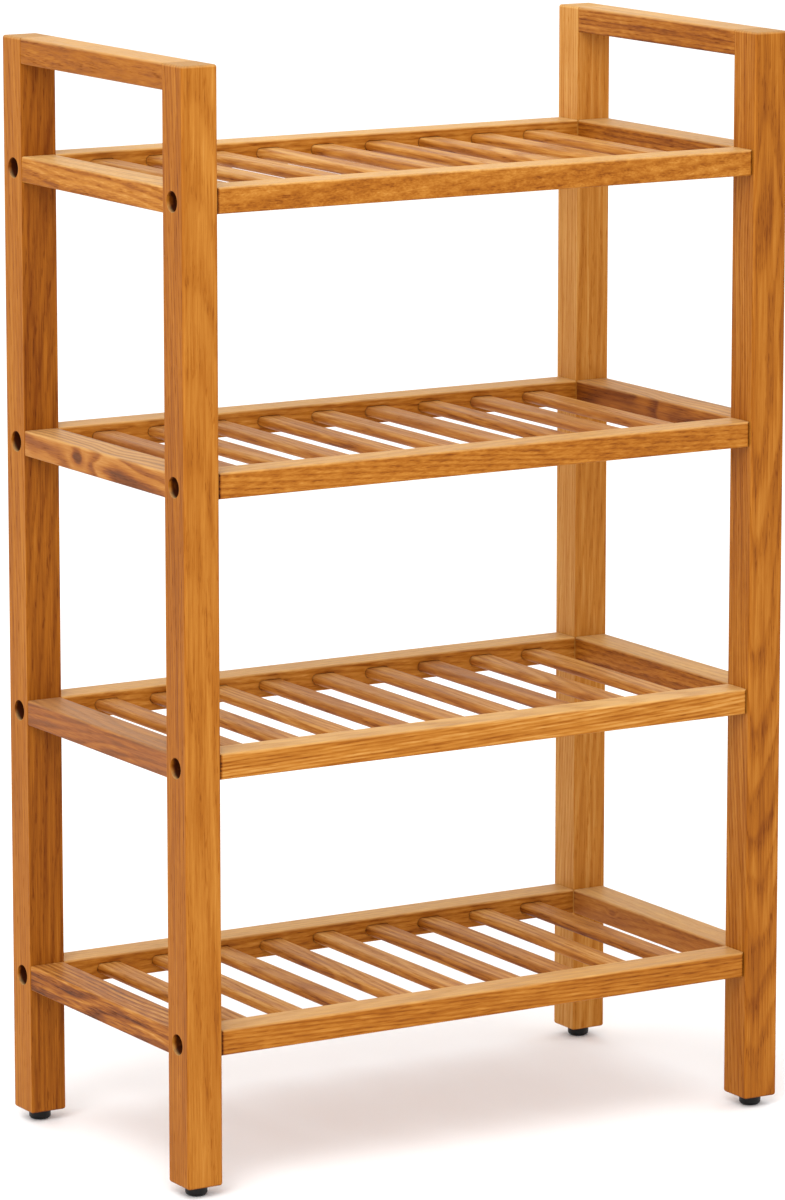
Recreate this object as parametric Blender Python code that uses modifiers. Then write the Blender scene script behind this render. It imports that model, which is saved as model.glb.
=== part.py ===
"""A four-tier slatted shoe rack in oiled oak, with a hand-hold rail at each end.

Metres, +Z up. The origin is on the floor at the middle of the footprint, the
shelves run along X and -Y is the front. Two end frames, each of two posts,
four side rails and a handle rail, are bolted to four shelves, each of a front
rail, a rear rail and nine flat, round-edged slats.
"""
import math

import bmesh
import bpy
from mathutils import Matrix, Vector

# Overall size
WIDTH = 0.500
DEPTH = 0.265
HEIGHT = 0.800

# Clearance kept where two pieces meet
GAP = 0.0003

# End frames
POST = 0.028
FRAME_RAIL_WIDTH = POST - 2 * GAP
HANDLE_RAIL_HEIGHT = 0.019
FRONT, REAR = -1, 1
LEFT, RIGHT = -1, 1

# Shelves, numbered from the top
SHELF_COUNT = 4
TOP_SHELF_HEIGHT = 0.715
SHELF_SPACING = 0.1984
RAIL_HEIGHT = 0.0185
LONG_RAIL_WIDTH = 0.0255
SLAT_COUNT = 9
SLAT_PITCH = 0.046
SLAT_WIDTH = 0.020
SLAT_THICKNESS = 0.0072
SOCKET_PLAY = 0.0006
SOCKET_DEPTH = 0.012

# Round tenons that join the end frames' rails to their posts
TENON_RADIUS = 0.004
TENON_LENGTH = 0.008
TENON_INSET = 0.019

# Connector bolts through the posts into the long rails
BOLT_HEAD_RADIUS = 0.0064
BOLT_HEAD_HEIGHT = 0.003
BOLT_SHANK_RADIUS = 0.003
BOLT_GRIP = 0.025
HEX_RADIUS = 0.0025
HEX_DEPTH = 0.002
COUNTERBORE_RADIUS = 0.0073
COUNTERBORE_DEPTH = 0.012

# Feet
FOOT_RADIUS = 0.008
FOOT_HEIGHT = 0.0075
FOOT_ROUND = 0.003
SPIGOT_RADIUS = 0.003
SPIGOT_LENGTH = 0.008

# Edges and facets
EDGE_ROUND = 0.0018
EDGE_SEGMENTS = 2
SLAT_EDGE_STEPS = 6
ROD_SIDES = 12
BORE_SIDES = 16
HEX_SIDES = 6
FOOT_SIDES = 24
CUT_MARGIN = 0.002

# Linear colour and roughness of each finish
OAK_POST = ((0.50, 0.18, 0.032), 0.50)
OAK_RAIL = ((0.47, 0.17, 0.030), 0.50)
OAK_SLAT = ((0.62, 0.30, 0.09), 0.48)
BLACK_PLASTIC = ((0.02, 0.02, 0.02), 0.45)

TURN_TO = {
    "X": Matrix.Rotation(math.radians(90), 4, "Y"),
    "Y": Matrix.Rotation(math.radians(90), 4, "X"),
    "Z": Matrix.Identity(4),
}


def clear_scene():
    for item in list(bpy.data.objects):
        bpy.data.objects.remove(item, do_unlink=True)


def make_collection(name):
    collection = bpy.data.collections.new(name)
    bpy.context.scene.collection.children.link(collection)
    return collection


def finish(name, look):
    colour, roughness = look
    material = bpy.data.materials.new(name + "_finish")
    material.use_nodes = True
    shader = material.node_tree.nodes["Principled BSDF"]
    shader.inputs["Base Color"].default_value = (*colour, 1.0)
    shader.inputs["Roughness"].default_value = roughness
    shader.inputs["Metallic"].default_value = 0.0
    return material


def place_part(name, mesh, location, look):
    """Put a mesh in the rack as a named part with its own finish."""
    part = bpy.data.objects.new(name, mesh)
    parts.objects.link(part)
    part.parent = rack
    part.location = location
    mesh.materials.append(finish(name, look))
    return part


def place_helper(name, mesh, location=(0, 0, 0)):
    """Put a cutter, or a shape to be joined to a part, beside the parts."""
    helper = bpy.data.objects.new(name, mesh)
    helpers.objects.link(helper)
    helper.location = location
    helper.hide_render = True
    helper.display_type = "WIRE"
    return helper


def box_mesh(name, size):
    shape = bmesh.new()
    bmesh.ops.create_cube(shape, size=1.0)
    bmesh.ops.scale(shape, vec=size, verts=shape.verts)
    mesh = bpy.data.meshes.new(name)
    shape.to_mesh(mesh)
    shape.free()
    return mesh


def rods_mesh(name, places, radius, length, axis, sides=ROD_SIDES):
    """A straight rod along axis, centred on each of the places."""
    shape = bmesh.new()
    for place in places:
        bmesh.ops.create_cone(
            shape, cap_ends=True, segments=sides, radius1=radius, radius2=radius,
            depth=length, matrix=Matrix.Translation(place) @ TURN_TO[axis])
    mesh = bpy.data.meshes.new(name)
    shape.to_mesh(mesh)
    shape.free()
    return mesh


def slat_outline(width, thickness):
    """A flat section, across and up, whose two edges are half circles."""
    radius = thickness / 2
    for side in (RIGHT, LEFT):
        for step in range(SLAT_EDGE_STEPS + 1):
            turn = math.pi * (step / SLAT_EDGE_STEPS - 0.5)
            across = width / 2 - radius + radius * math.cos(turn)
            yield side * across, side * radius * math.sin(turn)


def flat_bars_mesh(name, places, width, thickness, length):
    """A flat bar along Y with round edges, centred on each of the places."""
    shape = bmesh.new()
    outline = list(slat_outline(width, thickness))
    for place in places:
        front, rear = [
            [shape.verts.new(place + Vector((across, y, up))) for across, up in outline]
            for y in (-length / 2, length / 2)]
        shape.faces.new(front)
        shape.faces.new(rear)
        for index in range(len(outline)):
            shape.faces.new((front[index - 1], front[index], rear[index], rear[index - 1]))
    bmesh.ops.recalc_face_normals(shape, faces=shape.faces)
    mesh = bpy.data.meshes.new(name)
    shape.to_mesh(mesh)
    shape.free()
    return mesh


def ease_edges(item):
    bevel = item.modifiers.new("eased edges", "BEVEL")
    bevel.width = EDGE_ROUND
    bevel.segments = EDGE_SEGMENTS
    bevel.limit_method = "ANGLE"


def combine(item, helper, operation):
    """Cut or join a helper, then triangulate so that the next cut meets flat faces only."""
    boolean = item.modifiers.new(helper.name, "BOOLEAN")
    boolean.operation = operation
    boolean.solver = "EXACT"
    boolean.object = helper
    item.modifiers.new("flat faces", "TRIANGULATE")


def drill(part, places, radius, length, axis, sides=ROD_SIDES):
    name = part.name + "_bores_" + str(len(part.modifiers))
    cutter = place_helper(name, rods_mesh(name, places, radius, length, axis, sides))
    combine(part, cutter, "DIFFERENCE")


def join_rods(part, places, radius, length, axis, sides=ROD_SIDES):
    name = part.name + "_rods_" + str(len(part.modifiers))
    helper = place_helper(name, rods_mesh(name, places, radius, length, axis, sides))
    combine(part, helper, "UNION")


def shelf_top(number):
    return TOP_SHELF_HEIGHT - (number - 1) * SHELF_SPACING


def rail_centre_height(number):
    return shelf_top(number) - RAIL_HEIGHT / 2


def shelf_numbers():
    return range(1, SHELF_COUNT + 1)


def post_centre(side, end):
    return side * (WIDTH - POST) / 2, end * (DEPTH - POST) / 2


def long_rail_y(end):
    """A long rail is flush with the posts' inner faces."""
    return end * (DEPTH / 2 - POST + LONG_RAIL_WIDTH / 2)


def tenon_x(side):
    """The tenons stand inboard of the bolts' counterbores."""
    return side * (WIDTH / 2 - TENON_INSET)


def name_of(side, end=None):
    side_name = "left" if side == LEFT else "right"
    if end is None:
        return side_name
    return ("front_" if end == FRONT else "rear_") + side_name


def make_post(side, end, name):
    x, y = post_centre(side, end)
    bottom = FOOT_HEIGHT + GAP
    length = HEIGHT - bottom
    post = place_part(name, box_mesh(name, (POST, POST, length)), (x, y, bottom + length / 2), OAK_POST)
    ease_edges(post)
    return post


def bore_for_bolts(post, side, end):
    """Counterbored clearance holes from the post's outer side face."""
    heights = [rail_centre_height(number) for number in shelf_numbers()]
    y = long_rail_y(end)
    through = [Vector((side * (WIDTH - POST) / 2, y, z)) for z in heights]
    sunk = [Vector((side * (WIDTH + CUT_MARGIN - COUNTERBORE_DEPTH) / 2, y, z)) for z in heights]
    drill(post, sunk, COUNTERBORE_RADIUS, COUNTERBORE_DEPTH + CUT_MARGIN, "X", BORE_SIDES)
    drill(post, through, BOLT_SHANK_RADIUS + GAP, POST + CUT_MARGIN, "X")


def bore_for_tenons(post, side, end, heights):
    inner_face = end * (DEPTH / 2 - POST)
    depth = TENON_LENGTH + GAP
    places = [Vector((tenon_x(side), inner_face + end * (depth - CUT_MARGIN) / 2, z)) for z in heights]
    drill(post, places, TENON_RADIUS + GAP, depth + CUT_MARGIN, "Y")


def bore_for_foot(post, side, end):
    x, y = post_centre(side, end)
    depth = SPIGOT_LENGTH + GAP
    middle = FOOT_HEIGHT + GAP + (depth - CUT_MARGIN) / 2
    drill(post, [Vector((x, y, middle))], SPIGOT_RADIUS + GAP, depth + CUT_MARGIN, "Z")


def handle_centre_height():
    return HEIGHT - GAP - HANDLE_RAIL_HEIGHT / 2


def make_front_post(side):
    post = make_post(side, FRONT, name_of(side, FRONT) + "_post")
    heights = [rail_centre_height(number) for number in shelf_numbers()]
    bore_for_foot(post, side, FRONT)
    bore_for_tenons(post, side, FRONT, heights + [handle_centre_height()])
    bore_for_bolts(post, side, FRONT)


def make_rear_post(side):
    """A rear post and the handle rail that is glued to it."""
    post = make_post(side, REAR, name_of(side, REAR) + "_post_with_handle_rail")
    bore_for_foot(post, side, REAR)
    bore_for_tenons(post, side, REAR, [rail_centre_height(number) for number in shelf_numbers()])
    bore_for_bolts(post, side, REAR)
    join_handle_rail(post, side)


def join_handle_rail(post, side):
    x = post_centre(side, REAR)[0]
    z = handle_centre_height()
    front_end = -DEPTH / 2 + POST + GAP
    rear_end = DEPTH / 2 - POST / 2
    name = name_of(side) + "_handle_rail"
    mesh = box_mesh(name, (FRAME_RAIL_WIDTH, rear_end - front_end, HANDLE_RAIL_HEIGHT))
    rail = place_helper(name, mesh, (x, (front_end + rear_end) / 2, z))
    ease_edges(rail)
    join_rods(rail, [Vector((tenon_x(side), front_end, z))], TENON_RADIUS, 2 * TENON_LENGTH, "Y")
    combine(post, rail, "UNION")


def make_side_rail(number, side):
    """A short rail between two posts, with a tenon at each end."""
    name = f"shelf_{number}_{name_of(side)}_side_rail"
    length = DEPTH - 2 * POST - 2 * GAP
    x = post_centre(side, FRONT)[0]
    z = rail_centre_height(number)
    rail = place_part(name, box_mesh(name, (FRAME_RAIL_WIDTH, length, RAIL_HEIGHT)), (x, 0, z), OAK_RAIL)
    ease_edges(rail)
    ends = [Vector((tenon_x(side), end * length / 2, z)) for end in (FRONT, REAR)]
    join_rods(rail, ends, TENON_RADIUS, 2 * TENON_LENGTH, "Y")


def slat_places(number):
    z = rail_centre_height(number)
    first = -SLAT_PITCH * (SLAT_COUNT - 1) / 2
    return [Vector((first + index * SLAT_PITCH, 0, z)) for index in range(SLAT_COUNT)]


def make_long_rail(number, end):
    """A front or rear rail, joined to the two bolts screwed into its ends."""
    name = f"shelf_{number}_{'front' if end == FRONT else 'rear'}_rail_with_bolts"
    length = WIDTH - 2 * POST - 2 * GAP
    y = long_rail_y(end)
    z = rail_centre_height(number)
    rail = place_part(name, box_mesh(name, (length, LONG_RAIL_WIDTH, RAIL_HEIGHT)), (0, y, z), OAK_RAIL)
    ease_edges(rail)
    cut_slots(rail, number, end)
    join_bolts(rail, y, z)


def cut_slots(rail, number, end):
    """A blind slot for the end of each slat, in a long rail's inner face."""
    inner_face = end * (DEPTH / 2 - POST)
    shift = Vector((0, inner_face + end * (SOCKET_DEPTH - CUT_MARGIN) / 2, 0))
    places = [place + shift for place in slat_places(number)]
    width = SLAT_WIDTH + 2 * SOCKET_PLAY
    thickness = SLAT_THICKNESS + 2 * SOCKET_PLAY
    name = rail.name + "_slots"
    mesh = flat_bars_mesh(name, places, width, thickness, SOCKET_DEPTH + CUT_MARGIN)
    combine(rail, place_helper(name, mesh), "DIFFERENCE")


def join_bolts(rail, y, z):
    """Bolts at both ends, each from its grip in the rail to its head in a counterbore."""
    head_seat = WIDTH / 2 - COUNTERBORE_DEPTH + GAP
    head_x = head_seat + BOLT_HEAD_HEIGHT / 2
    tip_x = WIDTH / 2 - POST - BOLT_GRIP
    hex_x = head_seat + BOLT_HEAD_HEIGHT + (CUT_MARGIN - HEX_DEPTH) / 2
    join_rods(rail, both_ends((tip_x + head_x) / 2, y, z), BOLT_SHANK_RADIUS, head_x - tip_x, "X")
    join_rods(rail, both_ends(head_x, y, z), BOLT_HEAD_RADIUS, BOLT_HEAD_HEIGHT, "X", BORE_SIDES)
    drill(rail, both_ends(hex_x, y, z), HEX_RADIUS, HEX_DEPTH + CUT_MARGIN, "X", HEX_SIDES)


def both_ends(x, y, z):
    return [Vector((side * x, y, z)) for side in (LEFT, RIGHT)]


def make_slats(number):
    length = DEPTH - 2 * POST + 2 * (SOCKET_DEPTH - GAP)
    for index, place in enumerate(slat_places(number), start=1):
        name = f"shelf_{number}_slat_{index}"
        mesh = flat_bars_mesh(name, [Vector((0, 0, 0))], SLAT_WIDTH, SLAT_THICKNESS, length)
        place_part(name, mesh, place, OAK_SLAT)
        mesh.shade_smooth()
        mesh.set_sharp_from_angle(angle=math.radians(40))


def foot_profile():
    """Radius and height of the foot's outline, from the spigot's top down."""
    yield 0, FOOT_HEIGHT + SPIGOT_LENGTH
    yield SPIGOT_RADIUS, FOOT_HEIGHT + SPIGOT_LENGTH
    yield SPIGOT_RADIUS, FOOT_HEIGHT
    yield FOOT_RADIUS, FOOT_HEIGHT
    for degrees in range(0, 91, 30):
        turn = math.radians(degrees)
        out = FOOT_RADIUS - FOOT_ROUND + FOOT_ROUND * math.cos(turn)
        yield out, FOOT_ROUND - FOOT_ROUND * math.sin(turn)
    yield 0, 0


def make_foot(side, end):
    """A glide turned about the post's axis, with a spigot that plugs into the post."""
    name = name_of(side, end) + "_foot"
    points = [(radius, 0, height) for radius, height in foot_profile()]
    edges = [(index, index + 1) for index in range(len(points) - 1)]
    mesh = bpy.data.meshes.new(name)
    mesh.from_pydata(points, edges, [])
    foot = place_part(name, mesh, (*post_centre(side, end), 0), BLACK_PLASTIC)
    turn = foot.modifiers.new("turned", "SCREW")
    turn.steps = FOOT_SIDES
    turn.render_steps = FOOT_SIDES
    turn.use_merge_vertices = True
    turn.merge_threshold = 0.00001


def make_end_frame(side):
    make_front_post(side)
    make_rear_post(side)
    for number in shelf_numbers():
        make_side_rail(number, side)
    for end in (FRONT, REAR):
        make_foot(side, end)


def make_shelf(number):
    for end in (FRONT, REAR):
        make_long_rail(number, end)
    make_slats(number)


clear_scene()
parts = make_collection("tiered_shoe_rack")
helpers = make_collection("cutters_and_helpers")
rack = bpy.data.objects.new("rack_origin", None)
parts.objects.link(rack)
for frame_side in (LEFT, RIGHT):
    make_end_frame(frame_side)
for shelf_number in shelf_numbers():
    make_shelf(shelf_number)
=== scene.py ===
"""The looks of a four-tier oak shoe rack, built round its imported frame.

Every piece of the real rack is a mesh of its own: posts, rails, slats, bolts
and glides. Places and outer sizes come from the frame's boxes. The sizes of
bores, slots, bolts and spigots are constants. All lengths are in metres.
"""
import math
import random
from collections import namedtuple

import bmesh
import bpy
from mathutils import Matrix, Vector


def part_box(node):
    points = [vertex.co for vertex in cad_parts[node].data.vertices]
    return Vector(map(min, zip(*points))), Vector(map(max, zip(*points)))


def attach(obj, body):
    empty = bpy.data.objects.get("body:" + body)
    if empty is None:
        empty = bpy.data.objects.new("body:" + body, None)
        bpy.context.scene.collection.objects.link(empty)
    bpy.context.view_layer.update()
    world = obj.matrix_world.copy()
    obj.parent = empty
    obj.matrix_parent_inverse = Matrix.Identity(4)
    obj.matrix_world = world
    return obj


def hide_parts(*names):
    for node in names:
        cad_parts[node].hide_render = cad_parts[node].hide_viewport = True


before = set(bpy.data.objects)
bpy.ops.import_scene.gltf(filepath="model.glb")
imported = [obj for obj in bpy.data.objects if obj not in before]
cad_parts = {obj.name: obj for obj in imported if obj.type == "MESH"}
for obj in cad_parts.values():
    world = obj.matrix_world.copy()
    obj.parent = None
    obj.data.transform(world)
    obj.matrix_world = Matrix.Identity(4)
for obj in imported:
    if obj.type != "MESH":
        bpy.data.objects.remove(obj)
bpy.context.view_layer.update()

BODY = "root"
SIDES = (("left", -1), ("right", 1))
ENDS = (("front", -1), ("rear", 1))
SHELVES = range(1, 5)
SLATS = range(1, 10)

# Fit and shape of the woodwork
SEAM = 0.00015
ROUND = 0.0020
RAIL_ROUND = 0.0016
END_ROUND = 0.0028
FLUSH_ROUND = 0.0004
SHARP = 0.0003
ROUND_SEGMENTS = 5
HANDLE_RAIL_HEIGHT = 0.019
SLAT_ROUND = 0.0031
WIDEST_ROUND = SLAT_ROUND
SLOT_PLAY = 0.0006
SLOT_RIM = 0.0005
SLOT_DEPTH = 0.012
RIM = 0.0004
TURNED_SIDES = 48
SAME_PLACE = 1e-6

# Connector bolts and their bores
COUNTERBORE_RADIUS = 0.0073
COUNTERBORE_DEPTH = 0.012
BOLT_GRIP = 0.025
CLEARANCE_RADIUS = 0.0033
HEAD_RADIUS = 0.0064
HEAD_HEIGHT = 0.003
HEAD_ROUND = 0.0008
SHANK_RADIUS = 0.003
HEX_RADIUS = 0.0025
HEX_DEPTH = 0.002
HEX_SIDES = 6
HEAD_SMOOTH_ANGLE = 30

# Glides
SPIGOT_RADIUS = 0.003
SPIGOT_LENGTH = 0.008
GLIDE_ROUND = 0.003

OVERCUT = 0.002

# The posts' width and the planes of their inner faces
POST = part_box("front_left_post")[1].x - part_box("front_left_post")[0].x
FRONT_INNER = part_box("front_left_post")[1].y
REAR_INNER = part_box("rear_left_post_with_handle_rail")[1].y - POST
LEFT_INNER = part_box("front_left_post")[1].x
RIGHT_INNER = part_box("front_right_post")[0].x

# Camera and light
LENS = 185.24
CAMERA_PLACE = (-2.283, -3.800, 1.219)
CAMERA_TURN = (79.35, 0, -30.96)
CAMERA_REACH = 200
FLOOR_REACH = 30
FLOOR_WHITE = (0.97, 0.97, 0.97, 1.0)
FLOOR_ROUGHNESS = 0.8
FLOOR_SPECULAR = 0.1
ROOM_LIGHT = 1.23
SOFTBOX_SIZE = 2.4
SOFTBOX_PLACE = (-2.0, -2.0, 2.9)
SOFTBOX_AIM = (0, 0, 0.5)
SOFTBOX_POWER = 80

# A bore's outline, the place of its mouth, the way out of it, and half the flat part of a slot's width
Bore = namedtuple("Bore", "profile mouth outward half_flat", defaults=(0.0,))

ALONG = {"X": 0, "Y": 1, "Z": 2}
GRAIN_TO_Z = {
    "X": (0, math.radians(-90), 0),
    "Y": (math.radians(90), 0, 0),
    "Z": (0, 0, 0),
}

# How a stick of oak looks. tone: 0 darkest to 1 palest, and front: how much paler its front face is as
# painted light; a negative value paints shade.
# rings, streaks, patches, rays: how strongly each shows. run: metres that a streak goes along the grain.
# spacing: metres between growth rings. warp: metres that the rings wander, and swirl: how often in a metre.
# wave: metres of the finer waviness. blush: share of pink brown. sheen: share of painted sheen on its top
# face.
# Then how dark the painted shade is at a rail's left end, beside the post that shades it, and the knot: its
# place up and along, and its size.
Oak = namedtuple(
    "Oak", "tone front rings streaks run patches rays spacing warp swirl wave blush sheen joint knot")
POST_OAK = Oak(0.55, 0.0, 0.07, 0.22, 0.12, 0.14, 0.03, 0.0030, 0.010, 1.6, 0.0008, 0.0, 0.28, 0.0, None)
RAIL_OAK = Oak(0.54, 0.0, 0.12, 0.28, 0.025, 0.16, 0.03, 0.0030, 0.010, 2.5, 0.0012, 0.0, 0.30, 0.0, None)
SLAT_OAK = Oak(0.50, 0.0, 0.16, 0.36, 0.06, 0.16, 0.03, 0.0040, 0.010, 3.5, 0.0012, 0.15, 0.06, 0.0, None)
BOLD_OAK = Oak(0.52, 0.0, 0.55, 0.24, 0.05, 0.26, 0.02, 0.0048, 0.016, 8.0, 0.0018, 0.35, 0.20, 0.0, None)
ROSY_OAK = Oak(0.46, 0.0, 0.26, 0.42, 0.05, 0.24, 0.03, 0.0040, 0.014, 4.0, 0.0014, 0.60, 0.20, 0.0, None)
# Front rails carry painted shade at their left ends, where the post shades them
FRONT_RAIL_OAK = RAIL_OAK._replace(joint=0.35)
FLAME_OAK = POST_OAK._replace(rings=0.12, spacing=0.003, warp=0.008, wave=0.002, swirl=5.0, patches=0.2)

# Noise in the oak: how often it repeats in a metre along each axis, with the grain along Z
PATCH_STRETCH = (26, 26, 3.5)
PORE_STRETCH = (1200, 1200, 90)
RAY_STRETCH = (110, 150, 70)
FIBRES_ACROSS = 1000
STREAKS_ACROSS = 320

# How much paler, or darker where negative, each feature makes the oak
# Tops are paler as painted light, the light that falls on them from above
TOP_PAINTED_LIGHT = 0.20
PORES_PALER = -0.14
END_GRAIN_PALER = -0.28
# Pale edges are partly wear and partly a painted highlight where the rounded arrises catch the light
EDGE_WEAR_AND_HIGHLIGHT = 0.04
# Painted shade deep in the bores and slots, where little light reaches
BORE_PAINTED_SHADE = -0.60
KNOT_PALER = -0.28

# Metres: how far fibres and knots push the rings, how wide the pale edges are, partly wear and partly a
# painted highlight, where the painted shade in a bore darkens, and where the painted shade at a rail's left
# end fades
FEATHERING = 0.0014
KNOT_BULGE = 0.003
EDGE_WIDTH = 0.0022
BORE_SHADE_DEPTHS = (0.0006, 0.004)
END_SHADE_FADES = (0.0030, 0.0012)

OAK_ROUGHNESS = 0.50
OAK_SPECULAR = 0.07
PLASTIC_SPECULAR = 0.25

# Each post, handle rail or rail: its oak, then its pith's distance in metres and direction in degrees from
# the middle of the stick, across the grain
# The front values paint light on the front left post's front face and shade on the front faces of the other
# posts
POST_LOOKS = {
    ("front", "left"): (POST_OAK._replace(tone=0.475, front=0.09), 0.090, 100),
    ("front", "right"): (FLAME_OAK._replace(tone=0.54, front=-0.08), 0.050, 262),
    ("rear", "left"): (POST_OAK._replace(tone=0.54, front=-0.16), 0.080, 60),
    ("rear", "right"): (POST_OAK._replace(tone=0.81, front=-0.13), 0.075, 120),
}
HANDLE_LOOKS = {
    "left": (RAIL_OAK._replace(tone=0.47, rings=0.08, streaks=0.22), 0.080, 20),
    "right": (RAIL_OAK._replace(tone=0.52, rings=0.18), 0.060, 80),
}
SIDE_RAIL_OAK = (RAIL_OAK, 0.070, 30)
SIDE_RAIL_LOOKS = {
    (1, "left"): (RAIL_OAK._replace(tone=0.57, rings=0.20, swirl=4.0), 0.050, 40),
    (1, "right"): (RAIL_OAK._replace(tone=0.40), 0.060, 60),
    (2, "left"): (BOLD_OAK._replace(knot=(0.0, 0.024, 0.012)), 0.030, 20),
    (3, "left"): (ROSY_OAK._replace(tone=0.27, rings=0.34, streaks=0.60, sheen=0.14), 0.045, 60),
    (4, "left"): (ROSY_OAK._replace(tone=0.42, rings=0.40, streaks=0.60, blush=0.2, sheen=0.04), 0.050, 30),
    (2, "right"): (
        BOLD_OAK._replace(tone=0.42, rings=0.34, blush=0.1, knot=(-0.004, -0.055, 0.014)), 0.040, 10),
    (3, "right"): (RAIL_OAK._replace(tone=0.46), 0.060, 60),
    (4, "right"): (RAIL_OAK._replace(blush=0.3, knot=(0.002, 0.05, 0.006)), 0.050, 50),
}
LONG_RAIL_OAK = (RAIL_OAK, 0.070, 40)
LONG_RAIL_LOOKS = {
    (1, "front"): (FRONT_RAIL_OAK._replace(tone=0.60, streaks=0.30, run=0.008), 0.070, 250),
    (2, "front"): (FRONT_RAIL_OAK._replace(tone=0.53, run=0.015), 0.070, 200),
    (3, "front"): (FRONT_RAIL_OAK._replace(
        tone=0.64, rings=0.18, warp=0.002, swirl=1.2, run=0.06, spacing=0.0025), 0.080, 185),
    (4, "front"): (FRONT_RAIL_OAK._replace(tone=0.52, patches=0.10, swirl=1.5, run=0.04), 0.080, 190),
}

# Ranges of the slats' tone on the top shelf and on the others, and the most blush on each shelf
TOP_SLAT_TONES = (0.50, 0.60)
LOWER_SLAT_TONES = (0.40, 0.57)
SLAT_BLUSHES = (0.10, 0.35, 0.25, 0.0)

# Darkest to palest oak, linear
OAK_SHADES = (
    (0.00, (0.040, 0.007, 0.001)),
    (0.28, (0.170, 0.041, 0.003)),
    (0.52, (0.315, 0.099, 0.008)),
    (0.72, (0.425, 0.163, 0.022)),
    (1.00, (0.600, 0.310, 0.085)),
)
PINK_BROWN = (0.30, 0.108, 0.038)
# Painted sheen: the creamy reflection of the bright room, mixed into the colour of top faces
TOP_PAINTED_SHEEN = (0.82, 0.60, 0.27)
DARK_BRONZE = (0.06, 0.028, 0.016, 1.0)
PALE_BRONZE = (0.17, 0.085, 0.05, 1.0)
BLACK = (0.0015, 0.0015, 0.0015, 1.0)
DUSTY_BLACK = (0.008, 0.007, 0.0065, 1.0)


def add(tree, kind, inputs, **settings):
    """A shader node. inputs holds, by socket name or number, values or other nodes' outputs."""
    node = tree.nodes.new("ShaderNode" + kind)
    for name, value in settings.items():
        setattr(node, name, value)
    for key, value in inputs.items():
        if isinstance(value, bpy.types.NodeSocket):
            tree.links.new(value, node.inputs[key])
        else:
            node.inputs[key].default_value = value
    return node


def calc(tree, operation, *values):
    return add(tree, "Math", dict(enumerate(values)), operation=operation).outputs[0]


def vector_calc(tree, operation, *values, output="Vector"):
    return add(tree, "VectorMath", dict(enumerate(values)), operation=operation).outputs[output]


def noise(tree, place, stretch, detail, output="Fac"):
    """Noise that repeats stretch times a metre along each axis."""
    scaled = vector_calc(tree, "MULTIPLY", place, stretch)
    return add(tree, "TexNoise", {"Vector": scaled, "Scale": 1.0, "Detail": detail}).outputs[output]


def between(tree, value, low, high):
    """0 below low and 1 above high, with a soft step between."""
    sockets = {"Value": value, "From Min": low, "From Max": high}
    return add(tree, "MapRange", sockets, interpolation_type="SMOOTHSTEP").outputs["Result"]


def weigh(tree, start, *terms):
    """start plus each term's value, taken from its middle, times its weight."""
    total = start
    for value, middle, weight in terms:
        offset = calc(tree, "SUBTRACT", value, middle)
        total = calc(tree, "MULTIPLY_ADD", offset, weight, total)
    return total


def mix_colour(tree, share, first, second):
    return add(tree, "Mix", {0: share, 6: first, 7: second}, data_type="RGBA").outputs[2]


def new_material(name):
    material = bpy.data.materials.new(name)
    material.use_nodes = True
    return material, material.node_tree, material.node_tree.nodes["Principled BSDF"]


def wander(tree, place, stretch, reach):
    """place moved across the grain by as much as reach, smoothly."""
    drift = vector_calc(tree, "SUBTRACT", noise(tree, place, stretch, 1, "Color"), (0.5, 0.5, 0.5))
    return vector_calc(tree, "MULTIPLY_ADD", drift, (reach * 2, reach * 2, 0), place)


def ring_pattern(tree, place, fibres, oak, pith):
    """Growth rings round a pith outside the stick.

    Returns their shade, 0 in the early wood, a value for each year, and the ray flecks.
    """
    bent = wander(tree, place, (9, 9, oak.swirl), oak.warp)
    bent = wander(tree, bent, (70, 70, 14), oak.wave)
    from_pith = vector_calc(tree, "MULTIPLY", vector_calc(tree, "SUBTRACT", bent, pith), (1, 1, 0.09))
    radius = vector_calc(tree, "LENGTH", from_pith, output="Value")
    radius = weigh(tree, radius, (fibres, 0.5, FEATHERING))
    if oak.knot:
        radius = weigh(tree, radius, (knot_mask(tree, place, oak.knot), 0.0, KNOT_BULGE))
    phase = calc(tree, "DIVIDE", radius, oak.spacing)
    season = calc(tree, "FRACT", phase)
    late = calc(tree, "SUBTRACT", between(tree, season, 0.0, 0.6), between(tree, season, 0.8, 1.0))
    year_noise = add(tree, "TexNoise", {"W": phase, "Scale": 0.7, "Detail": 0.0}, noise_dimensions="1D")
    parts = add(tree, "SeparateXYZ", {0: from_pith})
    round_pith = calc(tree, "ARCTAN2", parts.outputs["Y"], parts.outputs["X"])
    along = add(tree, "SeparateXYZ", {0: place}).outputs["Z"]
    ray_place = add(tree, "CombineXYZ", {"X": round_pith, "Y": radius, "Z": along}).outputs[0]
    rays = noise(tree, ray_place, RAY_STRETCH, 1)
    return late, year_noise.outputs["Fac"], between(tree, rays, 0.58, 0.70)


def knot_mask(tree, place, knot):
    """1 at a knot's heart, falling to 0 at its size. A knot is long along the grain."""
    up, along, size = knot
    offset = vector_calc(tree, "SUBTRACT", place, (0, -up, along))
    shortened = vector_calc(tree, "MULTIPLY", offset, (0, 1, 0.5))
    from_heart = vector_calc(tree, "LENGTH", shortened, output="Value")
    return calc(tree, "SUBTRACT", 1.0, between(tree, from_heart, 0.0, size))


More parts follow.
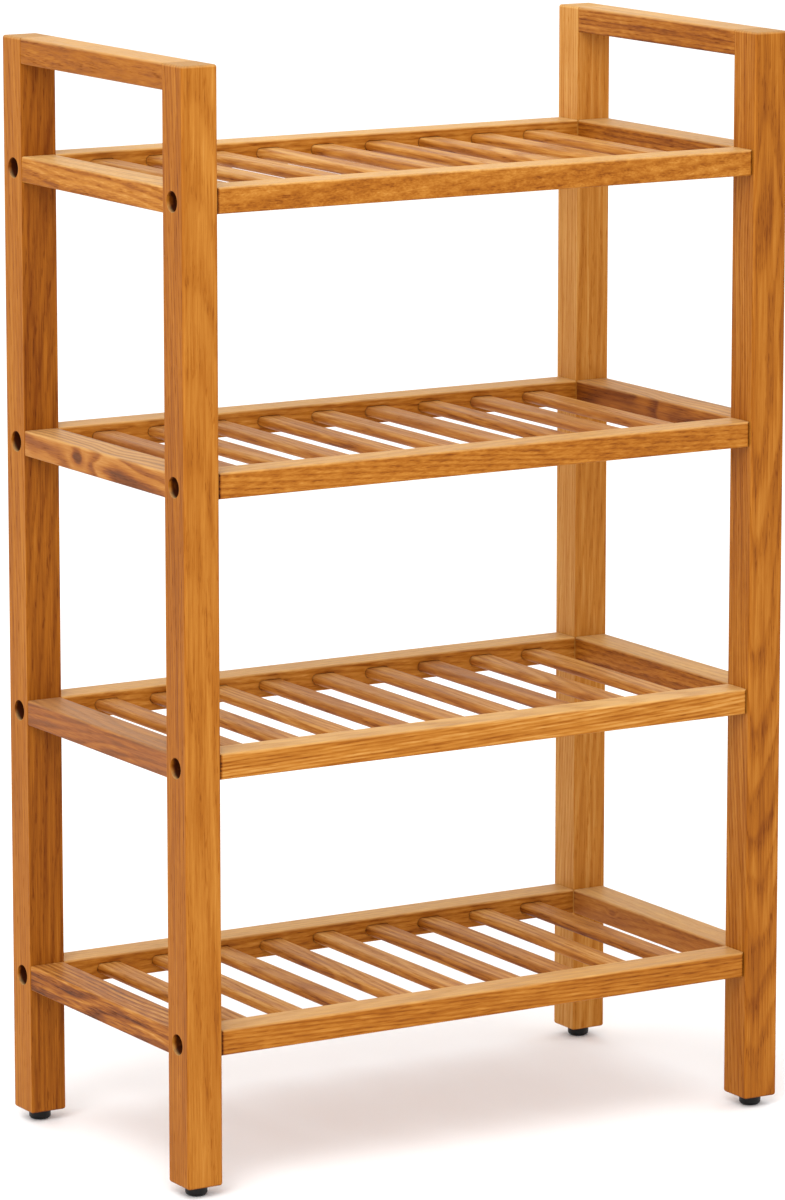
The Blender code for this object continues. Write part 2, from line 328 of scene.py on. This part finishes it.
def edge_and_depth(tree, place, half_size):
    """Masks on a box of that half size: 1 at its edges and 0 inwards, and 1 deep in its bores, where shade is
    painted, 0 outside.
    """
    inset = vector_calc(tree, "SUBTRACT", half_size, vector_calc(tree, "ABSOLUTE", place))
    x, y, z = add(tree, "SeparateXYZ", {0: inset}).outputs
    smaller, larger = calc(tree, "MINIMUM", x, y), calc(tree, "MAXIMUM", x, y)
    second = calc(tree, "MAXIMUM", smaller, calc(tree, "MINIMUM", larger, z))
    edge = calc(tree, "SUBTRACT", 1.0, between(tree, second, 0.0, EDGE_WIDTH))
    return edge, between(tree, calc(tree, "MINIMUM", smaller, z), *BORE_SHADE_DEPTHS)


def oak_material(name, oak, grain, half_size, pith):
    """Oiled oak with its grain along one of the piece's axes."""
    luck = random.Random(name)
    material, tree, shader = new_material(name)
    coordinates = add(tree, "TexCoord", {})
    own_place, normal = coordinates.outputs["Object"], coordinates.outputs["Normal"]
    place = add(tree, "Mapping", {"Vector": own_place, "Rotation": GRAIN_TO_Z[grain]}).outputs[0]
    random_place = vector_calc(tree, "ADD", place, [luck.uniform(0, 2) for _ in range(3)])
    fibres = noise(tree, random_place, (FIBRES_ACROSS, FIBRES_ACROSS, 3 / oak.run), 2)
    streaks = noise(tree, random_place, (STREAKS_ACROSS, STREAKS_ACROSS, 1 / oak.run), 4)
    patches = noise(tree, random_place, PATCH_STRETCH, 2)
    late, year, rays = ring_pattern(tree, place, fibres, oak, (*pith, luck.uniform(-0.5, 0.5)))
    pores = between(tree, noise(tree, random_place, PORE_STRETCH, 1), 0.56, 0.68)
    pores = calc(tree, "MULTIPLY", pores, calc(tree, "MULTIPLY_ADD", late, -0.75, 1.0))
    faces = add(tree, "SeparateXYZ", {0: vector_calc(tree, "ABSOLUTE", normal)}).outputs
    end_grain = between(tree, faces[ALONG[grain]], 0.3, 0.85)
    # Painted light: faces turned up are paler and carry the painted sheen
    top_light_share = calc(tree, "MAXIMUM", add(tree, "SeparateXYZ", {0: normal}).outputs["Z"], 0.0)
    edge, depth = edge_and_depth(tree, own_place, half_size)
    top_light_share = calc(tree, "MULTIPLY", top_light_share, calc(tree, "SUBTRACT", 1.0, depth))
    # Painted light and shade on faces turned to the front
    toward_front = vector_calc(tree, "DOT_PRODUCT", normal, (0, -1, 0), output="Value")
    front_light_and_shade = calc(tree, "MAXIMUM", toward_front, 0.0)
    ring_strength = calc(tree, "MULTIPLY_ADD", patches, 2.4, -0.2)
    late_shade = calc(tree, "MULTIPLY", calc(tree, "SUBTRACT", late, 0.6), ring_strength)
    terms = [
        (late_shade, 0.0, oak.rings), (year, 0.5, oak.rings * 1.2), (streaks, 0.5, oak.streaks * 2),
        (fibres, 0.5, oak.streaks * 1.5), (patches, 0.5, oak.patches * 2), (pores, 0.2, PORES_PALER),
        (rays, 0.1, oak.rays), (end_grain, 0.0, END_GRAIN_PALER), (top_light_share, 0.0, TOP_PAINTED_LIGHT),
        (front_light_and_shade, 0.0, oak.front), (edge, 0.0, EDGE_WEAR_AND_HIGHLIGHT), (depth, 0.0, BORE_PAINTED_SHADE)]
    roughness = [(pores, 0.1, 0.2), (streaks, 0.5, 0.25), (end_grain, 0.0, 0.15), (edge, 0.0, -0.05)]
    # Painted shade at the rail's left end, where the post shades it
    if oak.joint:
        along = add(tree, "SeparateXYZ", {0: place}).outputs["Z"]
        low_end = -half_size[ALONG[grain]]
        end_shaded = between(tree, along, *(low_end + reach for reach in END_SHADE_FADES))
        terms.append((end_shaded, 0.0, -oak.joint))
    if oak.knot:
        terms.append((between(tree, knot_mask(tree, place, oak.knot), 0.35, 0.95), 0.0, KNOT_PALER))
    ramp = add(tree, "ValToRGB", {"Fac": weigh(tree, oak.tone, *terms)})
    fill_ramp(ramp.color_ramp, OAK_SHADES)
    blush = calc(tree, "MULTIPLY", patches, oak.blush * 2)
    colour = mix_colour(tree, blush, ramp.outputs["Color"], (*PINK_BROWN, 1.0))
    # Painted sheen on faces turned up
    colour = mix_colour(tree, calc(tree, "MULTIPLY", top_light_share, oak.sheen), colour, (*TOP_PAINTED_SHEEN, 1.0))
    tree.links.new(colour, shader.inputs["Base Color"])
    tree.links.new(weigh(tree, OAK_ROUGHNESS, *roughness), shader.inputs["Roughness"])
    height = weigh(tree, 0.5, (pores, 0.0, -0.5), (late, 0.5, 0.15), (streaks, 0.5, 0.2), (fibres, 0.5, 0.15))
    bump = add(tree, "Bump", {"Height": height, "Strength": 0.5, "Distance": 0.0002})
    tree.links.new(bump.outputs[0], shader.inputs["Normal"])
    shader.inputs["Specular IOR Level"].default_value = OAK_SPECULAR
    return material


def fill_ramp(ramp, stops):
    ramp.elements[0].position = stops[0][0]
    ramp.elements[0].color = (*stops[0][1], 1.0)
    ramp.elements[1].position = stops[-1][0]
    ramp.elements[1].color = (*stops[-1][1], 1.0)
    for position, colour in stops[1:-1]:
        ramp.elements.new(position).color = (*colour, 1.0)


def steel_material():
    """Dark bronzed steel, slightly mottled."""
    material, tree, shader = new_material("bronzed_steel")
    place = add(tree, "TexCoord", {}).outputs["Object"]
    mottle = noise(tree, place, (900, 900, 900), 3)
    scratches = noise(tree, place, (400, 6000, 6000), 1)
    colour = mix_colour(tree, mottle, DARK_BRONZE, PALE_BRONZE)
    tree.links.new(colour, shader.inputs["Base Color"])
    roughness = weigh(tree, 0.36, (mottle, 0.5, 0.4), (scratches, 0.5, 0.2))
    tree.links.new(roughness, shader.inputs["Roughness"])
    bump = add(tree, "Bump", {"Height": scratches, "Strength": 0.3, "Distance": 0.00005})
    tree.links.new(bump.outputs[0], shader.inputs["Normal"])
    shader.inputs["Metallic"].default_value = 1.0
    return material


def plastic_material():
    """Black moulded plastic with a fine grain and a little dust."""
    material, tree, shader = new_material("black_glide_plastic")
    place = add(tree, "TexCoord", {}).outputs["Object"]
    grain = noise(tree, place, (2500, 2500, 2500), 2)
    dust = noise(tree, place, (180, 180, 180), 3)
    colour = mix_colour(tree, between(tree, dust, 0.45, 0.75), BLACK, DUSTY_BLACK)
    tree.links.new(colour, shader.inputs["Base Color"])
    roughness = weigh(tree, 0.45, (dust, 0.5, 0.5), (grain, 0.5, 0.2))
    tree.links.new(roughness, shader.inputs["Roughness"])
    bump = add(tree, "Bump", {"Height": grain, "Strength": 0.3, "Distance": 0.00008})
    tree.links.new(bump.outputs[0], shader.inputs["Normal"])
    shader.inputs["Specular IOR Level"].default_value = PLASTIC_SPECULAR
    return material


def link_mesh(name, shape):
    """A new object with the shape as its mesh, shaded smooth."""
    mesh = bpy.data.meshes.new(name)
    shape.to_mesh(mesh)
    shape.free()
    mesh.shade_smooth()
    item = bpy.data.objects.new(name, mesh)
    bpy.context.scene.collection.objects.link(item)
    return item


def facing(place, outward):
    """The matrix that takes +Z to an outward direction at a place."""
    return Matrix.Translation(place) @ Vector(outward).to_track_quat("Z", "Y").to_matrix().to_4x4()


def add_turned(shape, profile, matrix, half_flat=0.0):
    """Adds a body turned about +Z to shape, then drawn out along X by half_flat each way.

    profile holds (radius, height), starting and ending on the axis.
    """
    before = set(shape.verts)
    verts = [shape.verts.new((radius, 0, height)) for radius, height in profile]
    edges = [shape.edges.new(pair) for pair in zip(verts, verts[1:])]
    bmesh.ops.spin(
        shape, geom=verts + edges, cent=(0, 0, 0), axis=(0, 0, 1), angle=math.tau, steps=TURNED_SIDES,
        use_merge=True)
    bmesh.ops.remove_doubles(shape, verts=[vert for vert in shape.verts if vert not in before],
                             dist=SAME_PLACE)
    turned = [vert for vert in shape.verts if vert not in before]
    for vert in turned:
        if abs(vert.co.x) > SAME_PLACE:
            vert.co.x += math.copysign(half_flat, vert.co.x)
    bmesh.ops.transform(shape, matrix=matrix, verts=turned)
    bmesh.ops.recalc_face_normals(shape, faces=shape.faces)


def bore_profile(radius, depth, inner_radius=None, inner_depth=0.0, rim=RIM):
    """A bore's outline from its bottom up to outside its mouth, which is at height 0 and has an eased rim."""
    if inner_radius:
        bottom = [(0, -inner_depth), (inner_radius, -inner_depth),
                  (inner_radius, -depth), (radius, -depth)]
    else:
        bottom = [(0, -depth), (radius, -depth)]
    return [*bottom, (radius, -rim), (radius + rim, 0), (radius + rim, OVERCUT), (0, OVERCUT)]


def settle(item, cutter=None, smooth_angle=None):
    """Applies the modifiers and the cutter, and leaves one plain mesh.

    Edges over smooth_angle degrees stay sharp.
    """
    if cutter:
        boolean = item.modifiers.new("bores", "BOOLEAN")
        boolean.operation = "DIFFERENCE"
        boolean.solver = "EXACT"
        boolean.object = cutter
    weighted = item.modifiers.new("flat faces stay flat", "WEIGHTED_NORMAL")
    weighted.weight = 100
    weighted.keep_sharp = True
    graph = bpy.context.evaluated_depsgraph_get()
    mesh = bpy.data.meshes.new_from_object(item.evaluated_get(graph))
    item.modifiers.clear()
    item.data = mesh
    if smooth_angle:
        mesh.set_sharp_from_angle(angle=math.radians(smooth_angle))
    if cutter:
        bpy.data.objects.remove(cutter, do_unlink=True)


def edge_weights(shape, rounding):
    """rounding gives each edge's radius, from its direction and its middle."""
    layer = shape.edges.layers.float.new("bevel_weight_edge")
    for edge in shape.edges:
        start, end = edge.verts[0].co, edge.verts[1].co
        edge[layer] = rounding((end - start).normalized(), (start + end) / 2) / WIDEST_ROUND


def make_stick(name, low, high, rounding, bores=()):
    """A stick of wood with rounded edges and bores."""
    shape = bmesh.new()
    bmesh.ops.create_cube(shape, size=1.0)
    bmesh.ops.scale(shape, vec=high - low, verts=shape.verts)
    edge_weights(shape, rounding)
    stick = link_mesh(name, shape)
    centre = (low + high) / 2
    stick.location = centre
    bevel = stick.modifiers.new("rounded edges", "BEVEL")
    bevel.limit_method = "WEIGHT"
    bevel.width = WIDEST_ROUND
    bevel.segments = ROUND_SEGMENTS
    settle(stick, make_cutter(name + "_bores", bores) if bores else None)
    return stick


def make_cutter(name, bores):
    shape = bmesh.new()
    for bore in bores:
        add_turned(shape, bore.profile, facing(bore.mouth, bore.outward), bore.half_flat)
    return link_mesh(name, shape)


def dress(piece, nodes, material):
    """Makes a piece part of the rack: its finish, its body and the CAD nodes it stands for."""
    piece.data.materials.clear()
    piece.data.materials.append(material)
    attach(piece, BODY)
    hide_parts(*nodes)


def dress_oak(piece, nodes, look, grain):
    """look is an Oak with the distance and direction of its pith."""
    oak, distance, degrees = look
    turn = math.radians(degrees)
    pith = (distance * math.cos(turn), distance * math.sin(turn))
    dress(piece, nodes, oak_material(piece.name + "_oak", oak, grain, piece.dimensions / 2, pith))


def slat_look(number, slat):
    """Each slat is cut from another board. Those of the top shelf are the palest."""
    luck = random.Random(f"slat {number} {slat}")
    tone = luck.uniform(*(TOP_SLAT_TONES if number == 1 else LOWER_SLAT_TONES))
    oak = SLAT_OAK._replace(tone=tone, blush=luck.uniform(0.0, SLAT_BLUSHES[number - 1]))
    return oak, luck.uniform(0.03, 0.09), luck.uniform(0, 360)


def post_box(end, side):
    """A post's corners. The CAD node of a rear post also holds the handle rail."""
    if end == "front":
        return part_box(f"front_{side}_post")
    low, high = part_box(f"rear_{side}_post_with_handle_rail")
    low.y = high.y - POST
    return low, high


def rail_centre(number, end):
    low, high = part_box(f"shelf_{number}_{end}_rail_with_bolts")
    return (low + high) / 2


def make_post(end, side):
    """A square post: bolt bores in its outer side face and a bore for the glide's spigot."""
    out_y, out_x = dict(ENDS)[end], dict(SIDES)[side]
    low, high = post_box(end, side)
    face_x = high.x if out_x > 0 else low.x
    middle = (low + high) / 2

    def rounding(direction, place):
        if abs(direction.z) > 0.5:
            return ROUND if place.y * out_y > 0 else FLUSH_ROUND
        meets_handle = place.z > 0 and abs(direction.x) > 0.5 and place.y * out_y < 0
        return SHARP if meets_handle else ROUND

    bores = [Bore(bolt_bore(), Vector((face_x, *rail_centre(number, end).yz)), (out_x, 0, 0))
             for number in SHELVES]
    bores.append(Bore(spigot_bore(), Vector((middle.x, middle.y, low.z)), (0, 0, -1)))
    post = make_stick(f"oak_post_{end}_{side}", low, high, rounding, bores)
    node = f"{end}_{side}_post" + ("_with_handle_rail" if end == "rear" else "")
    dress_oak(post, [node], POST_LOOKS[end, side], "Z")


def bolt_bore():
    return bore_profile(COUNTERBORE_RADIUS, COUNTERBORE_DEPTH, CLEARANCE_RADIUS, POST + OVERCUT)


def spigot_bore():
    return bore_profile(SPIGOT_RADIUS + SEAM, SPIGOT_LENGTH + SEAM)


def long_edges(along, radius, end_radius=None):
    """Rounds the edges along one axis by radius, and those round the ends by end_radius or hardly."""
    def rounding(direction, place):
        if abs(direction[ALONG[along]]) > 0.5:
            return radius
        return end_radius(direction, place) if end_radius else SHARP
    return rounding


def make_handle_rail(side):
    node = f"rear_{side}_post_with_handle_rail"
    low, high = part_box(node)
    low = Vector((low.x + SEAM, FRONT_INNER + SEAM, high.z - HANDLE_RAIL_HEIGHT))
    high = Vector((high.x - SEAM, REAR_INNER - SEAM, high.z))
    rail = make_stick(f"oak_handle_rail_{side}", low, high, long_edges("Y", ROUND))
    dress_oak(rail, [node], HANDLE_LOOKS[side], "Y")


def make_side_rail(number, side):
    node = f"shelf_{number}_{side}_side_rail"
    low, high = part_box(node)
    low.y = FRONT_INNER + SEAM
    high.y = REAR_INNER - SEAM
    rail = make_stick(f"oak_side_rail_{number}_{side}", low, high, long_edges("Y", RAIL_ROUND))
    dress_oak(rail, [node], SIDE_RAIL_LOOKS.get((number, side), SIDE_RAIL_OAK), "Y")


def make_long_rail(number, end):
    """A front or rear rail, with slots for the slats in its inner face and a bore for a bolt in each end."""
    node = f"shelf_{number}_{end}_rail_with_bolts"
    out_y = dict(ENDS)[end]
    low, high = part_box(node)
    low.x = LEFT_INNER + SEAM
    high.x = RIGHT_INNER - SEAM
    middle = (low + high) / 2
    inner_face = low.y if out_y > 0 else high.y

    def end_rounding(direction, place):
        outer_corner = abs(direction.z) > 0.5 and place.y * out_y > 0
        return END_ROUND if outer_corner else SHARP

    bores = [slat_slot(number, slat, inner_face, -out_y) for slat in SLATS]
    bores += [Bore(grip_bore(), Vector((x, middle.y, middle.z)), (out_x, 0, 0))
              for x, out_x in ((low.x, -1), (high.x, 1))]
    rail = make_stick(f"oak_{end}_rail_{number}", low, high, long_edges("X", RAIL_ROUND, end_rounding), bores)
    dress_oak(rail, [node], LONG_RAIL_LOOKS.get((number, end), LONG_RAIL_OAK), "X")


def slat_slot(number, slat, face_y, out_y):
    """The blind slot that one end of a slat is let into."""
    low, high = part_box(f"shelf_{number}_slat_{slat}")
    middle = (low + high) / 2
    radius = (high.z - low.z) / 2
    profile = bore_profile(radius + SLOT_PLAY - SLOT_RIM, SLOT_DEPTH, rim=SLOT_RIM)
    return Bore(profile, Vector((middle.x, face_y, middle.z)), (0, out_y, 0), (high.x - low.x) / 2 - radius)


def grip_bore():
    return bore_profile(CLEARANCE_RADIUS, BOLT_GRIP)


def arc(radius, height, round_by, start, stop, steps=5):
    """Points of a rounded corner, as (radius, height), from one angle to the other in degrees."""
    for step in range(steps + 1):
        angle = math.radians(start + (stop - start) * step / steps)
        yield radius + round_by * math.cos(angle), height + round_by * math.sin(angle)


def make_slat(number, slat):
    """A flat slat with round edges, let into the front and rear rails."""
    node = f"shelf_{number}_slat_{slat}"
    low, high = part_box(node)
    stick = make_stick(f"oak_slat_{number}_{slat}", low, high, long_edges("Y", SLAT_ROUND))
    dress_oak(stick, [node], slat_look(number, slat), "Y")


def bolt_mesh():
    """A bolt along +Z, its seat at height 0, with a hexagon socket in its head."""
    rise = HEAD_HEIGHT - HEAD_ROUND
    length = COUNTERBORE_DEPTH - POST - BOLT_GRIP + SEAM * 2
    profile = [(0, length), (SHANK_RADIUS - RIM, length), (SHANK_RADIUS, length + RIM),
               (SHANK_RADIUS, 0), (HEAD_RADIUS, 0),
               *arc(HEAD_RADIUS - HEAD_ROUND, rise, HEAD_ROUND, 0, 90), (0, HEAD_HEIGHT)]
    shape = bmesh.new()
    add_turned(shape, profile, Matrix.Identity(4))
    bolt = link_mesh("bolt_pattern", shape)
    socket = bmesh.new()
    bmesh.ops.create_cone(
        socket, cap_ends=True, segments=HEX_SIDES, radius1=HEX_RADIUS, radius2=HEX_RADIUS,
        depth=HEX_DEPTH * 2, matrix=Matrix.Translation((0, 0, HEAD_HEIGHT)))
    settle(bolt, link_mesh("bolt_socket", socket), smooth_angle=HEAD_SMOOTH_ANGLE)
    mesh = bolt.data
    bpy.data.objects.remove(bolt, do_unlink=True)
    return mesh


def make_bolt(number, end, side, mesh, material):
    out_x = dict(SIDES)[side]
    low, high = post_box(end, side)
    face_x = high.x if out_x > 0 else low.x
    centre = rail_centre(number, end)
    bolt = bpy.data.objects.new(f"bolt_{number}_{end}_{side}", mesh.copy())
    bpy.context.scene.collection.objects.link(bolt)
    seat = Vector((face_x - out_x * (COUNTERBORE_DEPTH - SEAM), centre.y, centre.z))
    turn = Matrix.Rotation(random.Random(bolt.name).uniform(0, 1), 4, "Z")
    bolt.matrix_world = facing(seat, (out_x, 0, 0)) @ turn
    dress(bolt, [f"shelf_{number}_{end}_rail_with_bolts"], material)


def make_glide(end, side, material):
    """A black glide: a domed foot whose spigot plugs into the post."""
    node = f"{end}_{side}_foot"
    low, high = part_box(node)
    radius = (high.x - low.x) / 2
    top = post_box(end, side)[0].z - SEAM
    shape = bmesh.new()
    profile = [(0, 0), *arc(radius - GLIDE_ROUND, GLIDE_ROUND, GLIDE_ROUND, -90, 0, 8),
               *arc(radius - RIM, top - RIM, RIM, 0, 90, 3), (SPIGOT_RADIUS, top),
               (SPIGOT_RADIUS, high.z), (0, high.z)]
    add_turned(shape, profile, Matrix.Identity(4))
    glide = link_mesh(f"glide_{end}_{side}", shape)
    glide.location = ((low.x + high.x) / 2, (low.y + high.y) / 2, 0)
    settle(glide)
    dress(glide, [node], material)


def make_rack():
    for end, _ in ENDS:
        for side, _ in SIDES:
            make_post(end, side)
    for side, _ in SIDES:
        make_handle_rail(side)
        for number in SHELVES:
            make_side_rail(number, side)
    for number in SHELVES:
        for end, _ in ENDS:
            make_long_rail(number, end)
        for slat in SLATS:
            make_slat(number, slat)
    make_hardware()


def make_hardware():
    steel, plastic = steel_material(), plastic_material()
    mesh = bolt_mesh()
    for end, _ in ENDS:
        for side, _ in SIDES:
            make_glide(end, side, plastic)
            for number in SHELVES:
                make_bolt(number, end, side, mesh, steel)


def floor_material():
    """A plain white matt floor."""
    material, _, shader = new_material("pale_floor")
    shader.inputs["Base Color"].default_value = FLOOR_WHITE
    shader.inputs["Roughness"].default_value = FLOOR_ROUGHNESS
    shader.inputs["Specular IOR Level"].default_value = FLOOR_SPECULAR
    return material


def make_floor():
    shape = bmesh.new()
    bmesh.ops.create_grid(shape, x_segments=1, y_segments=1, size=FLOOR_REACH)
    floor = link_mesh("studio_floor", shape)
    floor.data.materials.append(floor_material())


def light_studio():
    world = bpy.data.worlds.new("studio")
    bpy.context.scene.world = world
    world.use_nodes = True
    background = world.node_tree.nodes["Background"]
    background.inputs["Color"].default_value = (1.0, 1.0, 1.0, 1.0)
    background.inputs["Strength"].default_value = ROOM_LIGHT
    data = bpy.data.lights.new("softbox", "AREA")
    data.shape = "SQUARE"
    data.size = SOFTBOX_SIZE
    data.energy = SOFTBOX_POWER
    softbox = bpy.data.objects.new("softbox", data)
    bpy.context.scene.collection.objects.link(softbox)
    softbox.matrix_world = facing(SOFTBOX_PLACE, Vector(SOFTBOX_PLACE) - Vector(SOFTBOX_AIM))
    softbox.visible_camera = False


def aim_camera():
    data = bpy.data.cameras.new("camera")
    data.lens = LENS
    camera = bpy.data.objects.new("camera", data)
    bpy.context.scene.collection.objects.link(camera)
    camera.location = CAMERA_PLACE
    camera.rotation_euler = [math.radians(angle) for angle in CAMERA_TURN]
    data.clip_end = CAMERA_REACH
    bpy.context.scene.camera = camera
    bpy.context.scene.view_settings.view_transform = "Standard"


make_rack()
make_floor()
light_studio()
aim_camera()
